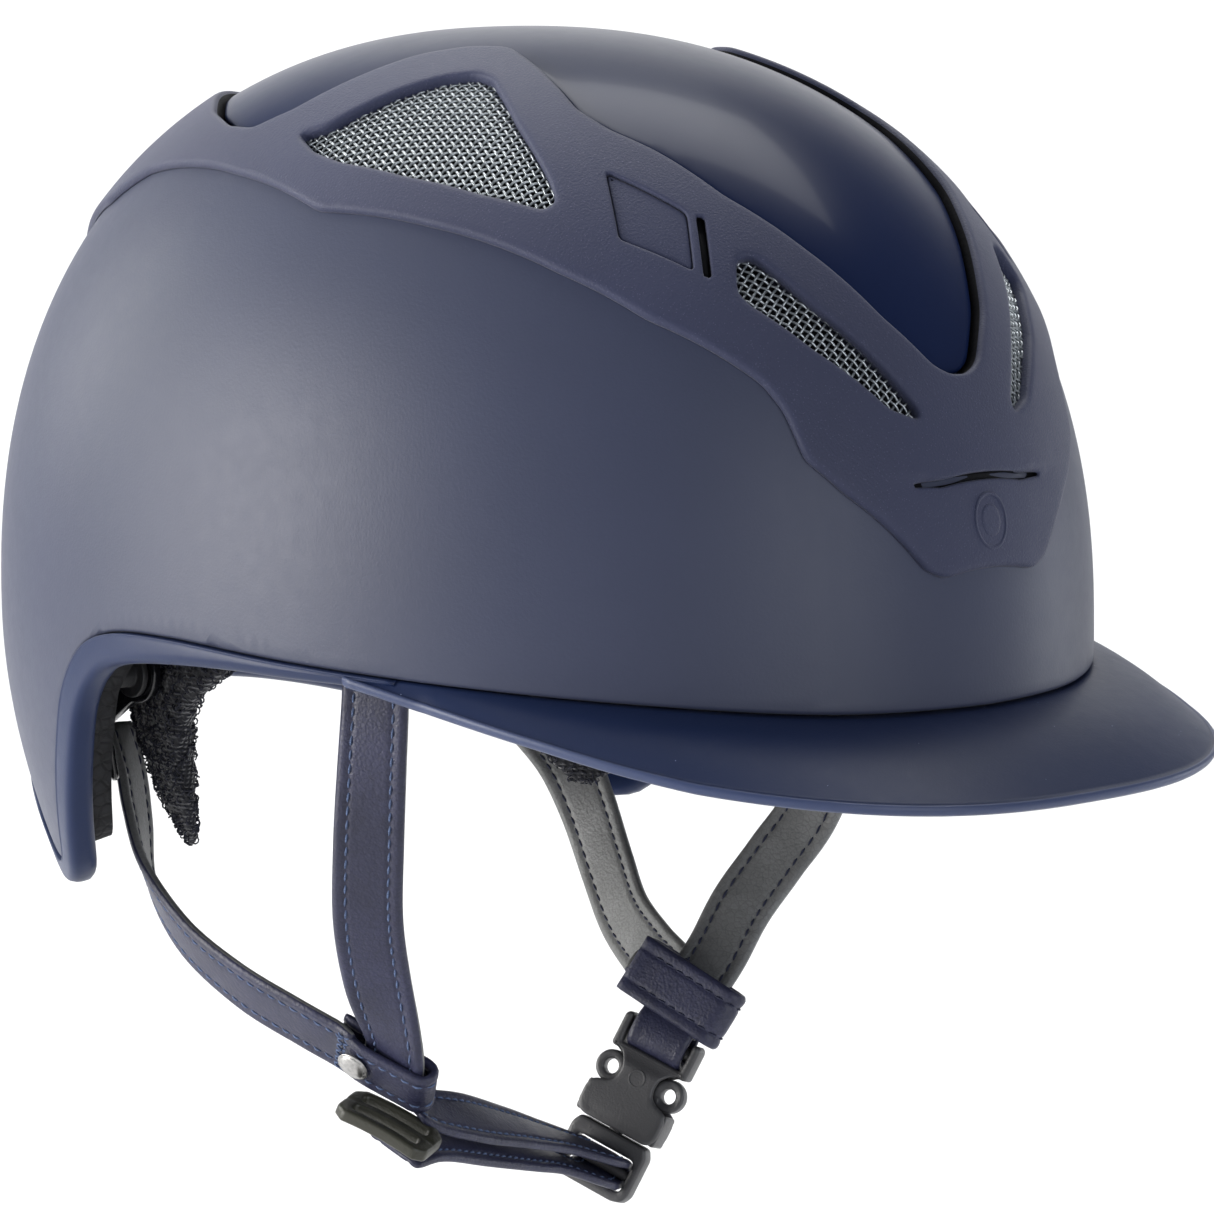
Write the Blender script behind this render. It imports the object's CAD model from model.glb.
# A riding helmet with a peak, meshed vents, padding, leather straps and a chin buckle.
# The front faces -Y, the wearer's right is -X and +Z is up. Lengths are millimetres
# until a mesh is made; the origin lies inside the dome, on its centre plane.
import math
import random

import bmesh
import bpy
import numpy as np
from mathutils import Matrix, Vector, geometry
from numpy.linalg import norm


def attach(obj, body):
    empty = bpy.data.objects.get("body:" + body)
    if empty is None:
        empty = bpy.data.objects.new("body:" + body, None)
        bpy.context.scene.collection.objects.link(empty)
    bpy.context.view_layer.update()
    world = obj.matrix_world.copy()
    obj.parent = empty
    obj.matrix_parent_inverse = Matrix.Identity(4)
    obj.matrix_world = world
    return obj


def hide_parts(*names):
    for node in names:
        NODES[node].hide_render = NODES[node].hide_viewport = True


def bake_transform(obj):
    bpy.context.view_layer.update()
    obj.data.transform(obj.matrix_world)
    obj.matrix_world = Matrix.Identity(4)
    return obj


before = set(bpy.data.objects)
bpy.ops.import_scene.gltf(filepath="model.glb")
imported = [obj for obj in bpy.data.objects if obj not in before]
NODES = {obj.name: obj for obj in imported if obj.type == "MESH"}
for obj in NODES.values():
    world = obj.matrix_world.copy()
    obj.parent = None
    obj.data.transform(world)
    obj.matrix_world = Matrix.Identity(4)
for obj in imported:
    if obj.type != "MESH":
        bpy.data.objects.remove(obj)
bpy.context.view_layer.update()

random.seed(7)
rng = np.random.default_rng(7)
MM = 0.001
rad = np.deg2rad


def detail(fine, coarse):
    return fine


# ------------------------------------------------------------------ maths
def unit(vec):
    vec = np.asarray(vec, float)
    return vec / np.maximum(norm(vec, axis=-1, keepdims=True), 1e-12)


def signed_power(value, power):
    return np.sign(value) * np.abs(value) ** power


def smooth(points, steps):
    """Catmull-Rom curve through points, with a number of steps to each span"""
    points = np.asarray(points, float)
    ext = np.vstack([2 * points[0] - points[1], points, 2 * points[-1] - points[-2]])
    out = []
    for a, b, c, d in zip(ext, ext[1:], ext[2:], ext[3:]):
        for j in range(steps):
            t = j / steps
            out.append(0.5 * (2 * b + (c - a) * t + (2 * a - 5 * b + 4 * c - d) * t * t
                              + (3 * b - a - 3 * c + d) * t ** 3))
    out.append(points[-1])
    return np.array(out)


def interp_rows(at, stations, rows):
    return np.stack([np.interp(at, stations, column) for column in rows.T], -1)


def axes(x_axis, z_hint):
    """Right-handed unit axes from an x axis and a rough z direction"""
    y_axis = unit(np.cross(z_hint, x_axis))
    return x_axis, y_axis, np.cross(x_axis, y_axis)


# ------------------------------------------------------------------ dome
# phi is the azimuth in degrees, 0 at the front and positive to the left. theta is 0 at
# the crown and 90 at z = 0; beyond 90 it counts millimetres below z = 0.
# The uv domain is the polar plot of theta against phi.
DOME_HALF_WIDTH = 111
DOME_FRONT = 150
DOME_REAR = 134
DOME_HEIGHT = 136.5
PLAN_SHAPE = 2.1  # superellipse exponent seen from above
PROFILE_SHAPE = 2.25  # superellipse exponent seen from the side


def dome(phi, theta):
    phi, theta = np.broadcast_arrays(np.asarray(phi, float), np.asarray(theta, float))
    plan, profile = 2 / PLAN_SHAPE, 2 / PROFILE_SHAPE
    sine, cosine = np.sin(rad(phi)), np.cos(rad(phi))
    reach = np.where(cosine > 0, float(DOME_FRONT), float(DOME_REAR))
    upper, below = np.minimum(theta, 90), np.maximum(theta - 90, 0) / 90
    taper = np.where(cosine > 0, 0.03, 0.36) * cosine * cosine + 0.133 * sine * sine
    radius = np.abs(np.sin(rad(upper))) ** profile * (1 - taper * below * below)
    return np.stack([DOME_HALF_WIDTH * signed_power(sine, plan) * radius,
                     -reach * signed_power(cosine, plan) * radius,
                     DOME_HEIGHT * np.abs(np.cos(rad(upper))) ** profile - 90 * below], -1)


def to_uv(phi, theta):
    return np.stack([theta * np.sin(rad(phi)), -theta * np.cos(rad(phi))], -1)


def phi_of(uv):
    return np.rad2deg(np.arctan2(uv[..., 0], -uv[..., 1]))


def theta_of(uv):
    return np.hypot(uv[..., 0], uv[..., 1])


def dome_uv(uv):
    return dome(phi_of(uv), theta_of(uv))


def normal(uv):
    """Outward unit normal of the dome"""
    du, dv = np.array([0.5, 0]), np.array([0, 0.5])
    return unit(np.cross(dome_uv(uv + du) - dome_uv(uv - du),
                         dome_uv(uv + dv) - dome_uv(uv - dv)))


def surf(uv, height=0.0):
    return dome_uv(uv) + np.asarray(height, float)[..., None] * normal(uv)


def theta_of_z(z):
    z = np.asarray(z, float)
    level = np.clip(np.abs(z) / DOME_HEIGHT, 0, 1)
    return np.where(z <= 0, 90 - z, np.rad2deg(np.arccos(level ** (PROFILE_SHAPE / 2))))


# Lower rim of the shell: |phi|, z
RIM = smooth([
    [0, -13.3], [20, -12.3], [40, -9], [60, -5.2], [75, -2], [88, 1], [96, 0.6], [101, -4],
    [105, -14], [108, -28], [112, -46], [115, -55.5], [119, -58], [123, -55], [127, -48.5],
    [134, -41.5], [142, -37], [155, -30], [168, -25], [180, -22.5]], 10)


def rim_theta(phi, drop=0.0):
    return theta_of_z(np.interp(np.abs(phi), RIM[:, 0], RIM[:, 1]) - drop)


# Outlines on the dome: phi, theta. The halves are the right side.
FRAME_HALF = [
    [-177, 72], [-171, 70], [-163, 63], [-150, 56], [-138, 51], [-126, 48], [-115, 43.5],
    [-96, 43], [-83, 46], [-76, 49], [-61, 51], [-46, 56.5], [-37, 61.5], [-25.5, 68],
    [-23.6, 70.5], [-22, 75], [-18, 78], [-9, 84.6], [-6.5, 85.3]]
PANEL_HALF = [
    [-168, 30], [-154, 29.5], [-140, 29.5], [-125, 31], [-112, 34], [-101, 36.5], [-94, 37],
    [-89, 34], [-80, 26.5], [-72, 22.5], [-60, 20.5], [-50, 21], [-45, 26], [-40, 35],
    [-36, 38.5], [-30, 42], [-23.5, 48], [-15.5, 54.5], [-8.5, 62], [-3.5, 67], [-1.2, 68]]
REAR_VENT = [
    [-84, 38.5], [-80, 37], [-70, 30.6], [-63, 28.3], [-57, 27.7], [-54, 29], [-50, 37],
    [-46, 45.7], [-45.5, 48.5], [-47, 49.4], [-55, 47.2], [-65, 44.7], [-75, 42.6], [-80, 41]]
FRONT_VENT = [
    [-25, 55.5], [-23, 55.2], [-17, 61], [-9.7, 68], [-7.3, 71], [-7.5, 72], [-11, 70.8],
    [-18.7, 65], [-25, 60.3], [-26, 59]]
SIDE_PLATE = [[-38.5, 44.7], [-29.4, 50.1], [-30.6, 56.8], [-38.6, 53.1]]
SIDE_SLIT = [[-28.4, 50.5], [-27.4, 50.8], [-28.7, 57.6], [-29.6, 57.4]]
BROW_SLOT = [[-9.8, 77.5], [-6, 77.35], [6, 77.35], [9.8, 77.5],
             [9.8, 77.8], [6, 77.95], [-6, 77.95], [-9.8, 77.8]]
EXHAUST = [[-170, 52.5], [-165, 54], [-166, 58], [-170, 61], [-176, 62],
           [176, 62], [170, 61], [166, 58], [165, 54], [170, 52.5]]


def mirrored(points):
    return np.array(points, float)[::-1] * [-1, 1]


def both(points):
    return np.vstack([points, mirrored(points)])


def domain(points):
    points = np.asarray(points, float)
    return to_uv(points[:, 0], points[:, 1])


VENTS = [domain(vent) for vent in (REAR_VENT, mirrored(REAR_VENT), FRONT_VENT,
                                   mirrored(FRONT_VENT), EXHAUST)]


# ------------------------------------------------------------------ shaders
class Shader:
    """Node tree of one material, textured in object coordinates"""

    def __init__(self, name):
        self.mat = bpy.data.materials.new(name)
        self.mat.use_nodes = True
        self.tree = self.mat.node_tree
        self.bsdf = self.tree.nodes["Principled BSDF"]
        self.coords = self.node("TexCoord").outputs["Object"]

    def put(self, socket, value):
        if isinstance(value, bpy.types.NodeSocket):
            self.tree.links.new(value, socket)
        else:
            socket.default_value = value

    def node(self, kind, **inputs):
        node = self.tree.nodes.new("ShaderNode" + kind)
        for key, value in inputs.items():
            self.put(node.inputs[key], value)
        return node

    def set(self, **inputs):
        """Principled inputs, with _ for a space"""
        for key, value in inputs.items():
            self.put(self.bsdf.inputs[key.replace("_", " ")], value)

    def noise(self, scale, detail=4, rough=0.55):
        return self.node("TexNoise", Scale=scale, Detail=detail, Roughness=rough,
                         Vector=self.coords).outputs["Fac"]

    def voronoi(self, scale, feature="F1"):
        node = self.node("TexVoronoi", Scale=scale, Vector=self.coords)
        node.feature = feature
        return node.outputs["Distance"]

    def wave(self, direction, **inputs):
        node = self.node("TexWave", Vector=self.coords, **inputs)
        node.bands_direction = direction
        return node.outputs["Fac"]

    def math(self, operation, first, second):
        node = self.node("Math")
        node.operation = operation
        self.put(node.inputs[0], first)
        self.put(node.inputs[1], second)
        return node.outputs[0]

    def add(self, first, second):
        return self.math("ADD", first, second)

    def mul(self, first, second):
        return self.math("MULTIPLY", first, second)

    def around(self, fac, centre, spread):
        return self.add(self.mul(fac, spread * 2), centre - spread)

    def tint(self, fac, color, *stops):
        """Colour ramp; each stop is a position and a factor on the colour"""
        node = self.node("ValToRGB", Fac=fac)
        for element, (position, factor) in zip(node.color_ramp.elements, stops):
            element.position = position
            element.color = (*np.minimum(np.array(color) * factor, 1), 1)
        return node.outputs["Color"]

    def mix(self, fac, base, color):
        node = self.node("Mix")
        node.data_type = "RGBA"
        self.put(node.inputs["Factor"], fac)
        sockets = {item.name: item for item in node.inputs if item.type == "RGBA"}
        self.put(sockets["A"], base)
        self.put(sockets["B"], (*color, 1))
        return next(item for item in node.outputs if item.type == "RGBA")

    def bump(self, height, strength, distance):
        node = self.node("Bump", Strength=strength, Distance=distance, Height=height)
        self.set(Normal=node.outputs["Normal"])


def painted(name, color, rough, grain_scale, grain, speck=None, coat=0.0, specular=0.5,
            variation=0.12, sheen=0.0, coat_rough=0.03, rough_spread=0.05):
    """Plastic or paint with mottled colour and a fine grain, and specks if wanted"""
    shader = Shader(name)
    base = shader.tint(shader.noise(14, 3), color, (0.3, 1 - variation), (0.7, 1 + variation))
    if speck:
        spots = shader.math("LESS_THAN", shader.voronoi(speck["scale"]), speck["size"])
        base = shader.mix(shader.mul(spots, speck["amount"]), base, speck["color"])
    shader.set(Base_Color=base,
               Roughness=shader.around(shader.noise(260, 3), rough, rough_spread),
               Specular_IOR_Level=specular, Coat_Weight=coat, Coat_Roughness=coat_rough,
               Sheen_Weight=sheen, Sheen_Roughness=0.5)
    shader.bump(shader.noise(grain_scale, 3), strength=grain, distance=0.0004)
    return shader.mat


def leather(name, color, rough, specular, grain=1.0):
    shader = Shader(name)
    base = shader.tint(shader.noise(60, 4), color, (0.3, 0.75), (0.7, 1.3))
    cells = shader.voronoi(1500)
    crease = shader.voronoi(620, "DISTANCE_TO_EDGE")
    wrinkles = shader.noise(170, 5, 0.65)
    dark = shader.mul(shader.math("LESS_THAN", crease, 0.06), 0.35)
    height = shader.add(shader.mul(cells, 0.5),
                        shader.add(shader.mul(crease, 0.5), shader.mul(wrinkles, 1.3)))
    shader.bump(height, strength=0.34 * grain, distance=0.0005)
    shader.set(Base_Color=shader.mix(dark, base, np.array(color) * 0.5),
               Roughness=shader.around(wrinkles, rough, 0.1), Specular_IOR_Level=specular)
    return shader.mat


def thread(name, color):
    shader = Shader(name)
    twist = shader.wave("DIAGONAL", Scale=2200, Distortion=2)
    shader.set(Base_Color=shader.tint(twist, color, (0.1, 0.65), (0.9, 1.25)), Roughness=0.7)
    shader.bump(twist, strength=0.4, distance=0.0002)
    return shader.mat


def fabric(name, color, scale, strength):
    shader = Shader(name)
    courses, wales = [shader.wave(way, Scale=scale / 3.14, Distortion=1.2, Detail=1)
                      for way in "XZ"]
    cloth = shader.add(shader.mul(shader.mul(courses, wales), 0.6),
                       shader.mul(shader.noise(90, 5, 0.7), 0.6))
    shader.set(Base_Color=shader.tint(cloth, color, (0.15, 0.45), (0.85, 1.6)),
               Roughness=0.95, Sheen_Weight=0.4)
    shader.bump(cloth, strength=strength, distance=0.0008)
    return shader.mat


def foam(name, color):
    shader = Shader(name)
    beads = shader.voronoi(330)
    edges = shader.math("MINIMUM", shader.voronoi(330, "DISTANCE_TO_EDGE"), 0.2)
    shader.set(Base_Color=shader.tint(beads, color, (0.1, 1.7), (0.8, 0.6)), Roughness=0.8)
    shader.bump(shader.mul(edges, 4), strength=0.5, distance=0.0006)
    return shader.mat


def metal(name, color, rough, scale=900, metallic=1.0):
    shader = Shader(name)
    grain = shader.noise(scale, 4, 0.6)
    shader.set(Base_Color=shader.tint(grain, color, (0.3, 0.7), (0.7, 1.2)),
               Metallic=metallic, Roughness=shader.around(grain, rough, 0.1))
    shader.bump(grain, strength=0.15, distance=0.0002)
    return shader.mat


MATS = dict(
    shell=painted("shell_matte", (0.042, 0.050, 0.092), rough=0.47, grain_scale=1500,
                  grain=0.10, specular=0.42, variation=0.05, sheen=0.05),
    frame=painted("frame_soft_touch", (0.036, 0.042, 0.088), rough=0.56, grain_scale=1900,
                  grain=0.42, specular=0.32, variation=0.08, sheen=0.15,
                  speck=dict(scale=1300, size=0.16, color=(0.11, 0.115, 0.19), amount=0.5)),
    panel=painted("crown_gloss", (0.0055, 0.013, 0.052), rough=0.30, grain_scale=500,
                  grain=0.015, coat=0.10, specular=0.12, variation=0.06, coat_rough=0.10,
                  rough_spread=0.02),
    peak=painted("peak_satin", (0.011, 0.021, 0.066), rough=0.42, grain_scale=1300,
                 grain=0.10, specular=0.24, variation=0.08,
                 speck=dict(scale=240, size=0.035, color=(0.30, 0.36, 0.55), amount=0.7)),
    trim=painted("trim_satin", (0.015, 0.027, 0.080), rough=0.40, grain_scale=1500,
                 grain=0.08, specular=0.28, variation=0.08),
    lip=painted("peak_lip", (0.040, 0.058, 0.135), rough=0.42, grain_scale=1300,
                grain=0.10, variation=0.08),
    under=fabric("peak_underside", (0.010, 0.012, 0.020), scale=1200, strength=0.4),
    gap=painted("dark_gap", (0.004, 0.004, 0.006), rough=0.7, grain_scale=900, grain=0.3,
                specular=0.2),
    foam=foam("foam_beads", (0.012, 0.012, 0.014)),
    pad=fabric("pad_knit", (0.013, 0.013, 0.018), scale=1500, strength=0.7),
    fleece=fabric("fleece_base", (0.010, 0.011, 0.018), scale=900, strength=1.0),
    loops=thread("fleece_loops", (0.022, 0.024, 0.040)),
    hook=fabric("hook_tape", (0.008, 0.008, 0.009), scale=2200, strength=1.0),
    cradle=painted("cradle_gloss", (0.006, 0.006, 0.008), rough=0.25, grain_scale=700,
                   grain=0.05, coat=0.6),
    stud=painted("stud_plastic", (0.020, 0.020, 0.022), rough=0.5, grain_scale=1500,
                 grain=0.3),
    leather=leather("strap_leather", (0.026, 0.028, 0.062), rough=0.46, specular=0.5),
    lining=leather("strap_lining", (0.150, 0.153, 0.155), rough=0.48, specular=0.6, grain=0.8),
    thread=thread("thread_light", (0.10, 0.145, 0.27)),
    thread_dark=thread("thread_dark", (0.018, 0.022, 0.055)),
    snap=metal("snap_metal", (0.50, 0.49, 0.48), rough=0.32),
    mesh=metal("vent_wire", (0.44, 0.47, 0.49), rough=0.34, scale=1400, metallic=0.9),
    buckle=painted("buckle_plastic", (0.050, 0.050, 0.054), rough=0.40, grain_scale=1900,
                   grain=0.25, specular=0.6, variation=0.10),
    olive=painted("adjuster_plastic", (0.030, 0.030, 0.020), rough=0.40, grain_scale=1500,
                  grain=0.3, specular=0.6, variation=0.15),
)


# ------------------------------------------------------------------ mesh building
def new_object(name, data):
    ob = bpy.data.objects.new(name, data)
    bpy.context.scene.collection.objects.link(ob)
    return ob


def make(name, mats, verts, faces, face_mats=None):
    mesh = bpy.data.meshes.new(name)
    mesh.from_pydata((np.asarray(verts) * MM).tolist(), [],
                     [tuple(int(i) for i in face) for face in faces])
    for key in mats:
        mesh.materials.append(MATS[key])
    if face_mats is not None:
        mesh.polygons.foreach_set("material_index", np.asarray(face_mats, np.int32))
    mesh.update()
    mesh.shade_smooth()
    return new_object(name, mesh)


def place(ob, body, blend=None, replaces=True):
    """Tie an object to a body, or blend it to another over (other, start, end).

    It replaces the node it is named after, less the _v."""
    if blend:
        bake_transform(ob)
    else:
        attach(ob, body)
    if replaces:
        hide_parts(ob.name[:-2])


def tube_faces(rows, size, closed=False, flip=False):
    """Faces between rings of equal size, capped unless the rows close on themselves"""
    faces = []
    for i in range(rows if closed else rows - 1):
        low, high = i * size, ((i + 1) % rows) * size
        for j in range(size):
            after = (j + 1) % size
            faces.append([low + j, low + after, high + after, high + j])
    if not closed:
        faces.append(list(range(size))[::-1])
        faces.append([(rows - 1) * size + j for j in range(size)])
    return [face[::-1] for face in faces] if flip else faces


class Piece:
    """Collects vertices, faces and material indices of one object"""

    def __init__(self):
        self.verts, self.faces, self.mats, self.count = [], [], [], 0

    def add(self, verts, faces, mat=0):
        verts = np.asarray(verts, float).reshape(-1, 3)
        self.verts.append(verts)
        self.faces += [[i + self.count for i in face] for face in faces]
        self.mats += [mat] * len(faces) if np.isscalar(mat) else list(mat)
        self.count += len(verts)

    def rod(self, path, radius, side, over, sides, mat=0, closed=False, flip=False):
        """Round rod along path; side and over span its cross-section"""
        turn = np.linspace(0, 2 * np.pi, sides, endpoint=False)[:, None]
        ring = np.cos(turn) * side[..., None, :] + np.sin(turn) * over[..., None, :]
        self.add(path[:, None] + np.reshape(radius, (-1, 1, 1)) * ring,
                 tube_faces(len(path), sides, closed, flip), mat)

    def build(self, name, mats):
        return make(name, mats, np.vstack(self.verts), self.faces, self.mats)


def inside(points, outline):
    """Which points lie in the closed outline"""
    x, y = points[:, 0], points[:, 1]
    result = np.zeros(len(points), bool)
    for (x1, y1), (x2, y2) in zip(outline, np.roll(outline, -1, 0)):
        if y1 == y2:
            continue
        hit = (y1 > y) != (y2 > y)
        result ^= hit & (x < (x2 - x1) * (y - y1) / (y2 - y1) + x1)
    return result


def in_material(points, rings):
    """Which points lie in the first ring and in none of the others"""
    result = inside(points, rings[0])
    for ring in rings[1:]:
        result &= ~inside(points, ring)
    return result


def resample(outline, surface, step, rounding):
    """Closed domain outline, evenly spaced on the surface and with rounded corners"""
    outline = np.asarray(outline, float)
    part = np.linspace(0, 1, 24, endpoint=False)[:, None]
    dense = np.vstack([start * (1 - part) + end * part
                       for start, end in zip(outline, np.roll(outline, -1, 0))])
    points = surface(dense)
    length = np.r_[0, np.cumsum(norm(np.roll(points, -1, 0) - points, axis=1))]
    count = max(12, int(round(length[-1] / step)))
    at = np.linspace(0, length[-1], count * 4, endpoint=False)
    even = interp_rows(at, length, np.vstack([dense, dense[:1]]))
    sigma = rounding / (step / 4)
    if sigma > 0.3:
        reach = int(math.ceil(3 * sigma))
        offsets = range(-reach, reach + 1)
        kernel = np.exp(-0.5 * (np.array(offsets) / sigma) ** 2)
        kernel /= kernel.sum()
        even = sum(weight * np.roll(even, -i, 0) for weight, i in zip(kernel, offsets))
    return even[::4]


def signed_area(loop):
    return 0.5 * np.sum(loop[:, 0] * np.roll(loop[:, 1], -1)
                        - np.roll(loop[:, 0], -1) * loop[:, 1])


def tangents(surface, uv, step=0.05):
    """Derivatives of the surface along u and v"""
    return [(surface(uv + shift) - surface(uv - shift)) / (2 * step)
            for shift in (np.array([step, 0]), np.array([0, step]))]


def inset(loop, surface, distance, hole):
    """Outline moved a distance into the material"""
    if abs(distance) < 1e-9:
        return loop
    along_u, along_v = tangents(surface, loop)
    face = unit(np.cross(along_u, along_v))
    points = surface(loop)
    ahead = unit(np.roll(points, -1, 0) - np.roll(points, 1, 0))
    turn = (1 if signed_area(loop) > 0 else -1) * (-1 if hole else 1)
    move = np.cross(face, ahead) * turn * distance
    uu, uv, vv = ((a * b).sum(1) for a, b in
                  ((along_u, along_u), (along_u, along_v), (along_v, along_v)))
    x, y = (along_u * move).sum(1), (along_v * move).sum(1)
    det = uu * vv - uv * uv
    return loop + np.stack([(vv * x - uv * y) / det, (uu * y - uv * x) / det], -1)


def ring_points(step, theta, end):
    """Evenly spaced domain points of the dome between two thetas"""
    out, odd = [], 0
    while theta < end:
        circle = dome(np.linspace(0, 360, 60), theta)
        length = norm(np.diff(circle, axis=0), axis=1).sum()
        count = max(1, int(round(length / step)))
        phi = (np.arange(count) + 0.5 * odd) * 360 / count
        out.append(to_uv(phi, np.full(count, theta)))
        slope = norm(dome(45, theta + 0.5) - dome(45, theta)) / 0.5
        theta += step * 0.87 / slope
        odd ^= 1
    return np.vstack(out)


def grid_points(x_min, x_max, y_min, y_max, step):
    out = []
    for j, y in enumerate(np.arange(y_min, y_max, step * 0.87)):
        x = np.arange(x_min + (j % 2) * step / 2, x_max, step)
        out.append(np.stack([x, np.full(len(x), y)], -1))
    return np.vstack(out)


NO_POINTS = np.zeros((0, 2))


def keep_height(uv, height):
    return height


def slab(surface, outer, holes, top, bottom, points, step=1.2, rounding=1.0,
         hole_rounding=None, hole_edges=None, shape_top=keep_height, shape_bottom=keep_height):
    """Plate with rounded edges, returned as vertices, faces and face materials.

    top and bottom list (inset, height) from the edge inward. hole_edges gives each hole
    its own (top, bottom, wall material). points fill the faces inside the edges."""
    roundings = [rounding] + (hole_rounding or [rounding] * len(holes))
    edges = [(top, bottom, 0)] + (hole_edges or [(top, bottom, 0)] * len(holes))
    verts, faces, mats = [], [], []
    rings, top_ids, bottom_ids, links = [], [], [], []
    count = 0
    for i, outline in enumerate([outer, *holes]):
        loop = resample(outline, surface, step, roundings[i])
        size = len(loop)
        ring_top, ring_bottom, wall_mat = edges[i]
        rows = [(shape_bottom, *row) for row in reversed(ring_bottom)]
        rows += [(shape_top, *row) for row in ring_top]
        for shape, distance, height in rows:
            ring = inset(loop, surface, distance, i > 0)
            verts.append(surface(ring, shape(ring, height)))
        outward = (signed_area(loop) > 0) ^ (i > 0)
        for row in range(len(rows) - 1):
            low, high = count + row * size, count + (row + 1) * size
            for j in range(size):
                after = (j + 1) % size
                faces.append([low + j, low + after, high + after, high + j] if outward
                             else [low + after, low + j, high + j, high + after])
                mats.append(wall_mat if row < len(ring_bottom) else 0)
        start = len(top_ids)
        links += [(start + j, start + (j + 1) % size) for j in range(size)]
        rings.append(ring)
        top_ids += [count + (len(rows) - 1) * size + j for j in range(size)]
        bottom_ids += [count + j for j in range(size)]
        count += len(rows) * size

    # drop filling points that come too close to the outlines
    points = points[in_material(points, rings)]
    placed = surface(points)
    clear = np.ones(len(points), bool)
    for ring in rings:
        ring_placed = surface(ring)
        for i in range(0, len(points), 4000):
            apart = norm(placed[i:i + 4000, None] - ring_placed[None], axis=2).min(1)
            clear[i:i + 4000] &= apart > step * 0.65
        # a later ring sees only what the earlier rings have left
        points, placed, clear = points[clear], placed[clear], clear[clear]

    coords = [Vector(point) for group in (*rings, points) for point in group]
    flat, _, triangles, origins = geometry.delaunay_2d_cdt(coords, links, [], 0, 1e-7)[:4]
    source = [origin[0] if len(origin) else -1 for origin in origins]
    centres = np.array([[(flat[a][c] + flat[b][c] + flat[d][c]) / 3 for c in (0, 1)]
                        for a, b, d in triangles])
    verts.append(surface(points, shape_top(points, float(top[-1][1]))))
    verts.append(surface(points, shape_bottom(points, float(bottom[-1][1]))))
    top_ids += [count + i for i in range(len(points))]
    bottom_ids += [count + len(points) + i for i in range(len(points))]
    for triangle, good in zip(triangles, in_material(centres, rings)):
        if not good or any(source[i] < 0 for i in triangle):
            continue
        corners = [source[i] for i in triangle]
        faces.append([top_ids[i] for i in corners])
        faces.append([bottom_ids[i] for i in reversed(corners)])
        mats += [0, 0]
    return np.vstack(verts), faces, mats


def affine(origin, x_axis, y_axis, z_axis):
    """Flat surface through origin"""
    return lambda uv, height=0.0: (origin + uv[:, :1] * x_axis + uv[:, 1:2] * y_axis
                                   + np.asarray(height, float)[..., None] * z_axis)


def plate(surface, outer, holes, low, high, radius, rounding=0.3, step=0.8,
          points=NO_POINTS, shape_top=keep_height):
    """Flat plate from low to high with edges rounded to a radius"""
    arc = [(math.cos(math.radians(a)), math.sin(math.radians(a))) for a in (0, 30, 60, 90)]
    top = [(radius * (1 - cosine), high - radius + radius * sine) for cosine, sine in arc]
    bottom = [(radius * (1 - cosine), low + radius - radius * sine) for cosine, sine in arc]
    return slab(surface, outer, holes, top, bottom, points, step=step, rounding=rounding,
                shape_top=shape_top)


def circle(radius, count=72):
    turn = np.linspace(0, 2 * np.pi, count, endpoint=False)
    return np.stack([radius * np.cos(turn), radius * np.sin(turn)], -1)


def rounded_rect(x_min, x_max, y_min, y_max, radius, steps=6):
    out = []
    for x, y, start in ((x_max - radius, y_max - radius, 0), (x_min + radius, y_max - radius, 90),
                        (x_min + radius, y_min + radius, 180),
                        (x_max - radius, y_min + radius, 270)):
        for i in range(steps + 1):
            turn = math.radians(start + 90 * i / steps)
            out.append([x + radius * math.cos(turn), y + radius * math.sin(turn)])
    return np.array(out)


# ------------------------------------------------------------------ outer shell
all_phi = np.linspace(-180, 180, 480, endpoint=False)
panel_loop = domain(both(PANEL_HALF))
shell_slab = slab(
    surf, to_uv(all_phi, rim_theta(all_phi)), [domain(both(PANEL_HALF) + [0, 1]), *VENTS],
    [(0, -1.2), (0.12, -0.55), (0.45, -0.15), (1.0, 0.0)],
    [(0, -1.8), (0.2, -2.5), (0.6, -2.85), (1.0, -2.95)],
    ring_points(detail(2.8, 4.0), 1.0, 152), step=2.0, rounding=0.6)
place(make("outer_shell_v", ["shell"], *shell_slab), "helmet")

# ------------------------------------------------------------------ vent frame
RISE = 1.85  # height of the frame's face above the dome
LEDGE = 77.2  # theta of the small ledge above the brow slot


def brow(uv, height):
    """Small ledge above the brow slot and a soft dip below it"""
    phi, theta = phi_of(uv), theta_of(uv)
    side = np.clip(1 - (np.abs(phi) / 13.5) ** 4, 0, 1)
    ledge = np.where(theta < LEDGE, np.exp(-np.clip(LEDGE - theta, 0, 99) / 3.0), 0) * side * 0.5
    foot = np.where(theta >= LEDGE, np.exp(-(theta - LEDGE) / 3.5), 0) * side * -0.35
    return height + np.where(height > 1.0, ledge + foot, 0)


frame_points = ring_points(detail(1.5, 3.0), 14, 90)
slits = [domain(outline) for outline in (SIDE_SLIT, mirrored(SIDE_SLIT), BROW_SLOT)]
side_plates = [domain(SIDE_PLATE), domain(mirrored(SIDE_PLATE))]
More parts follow.
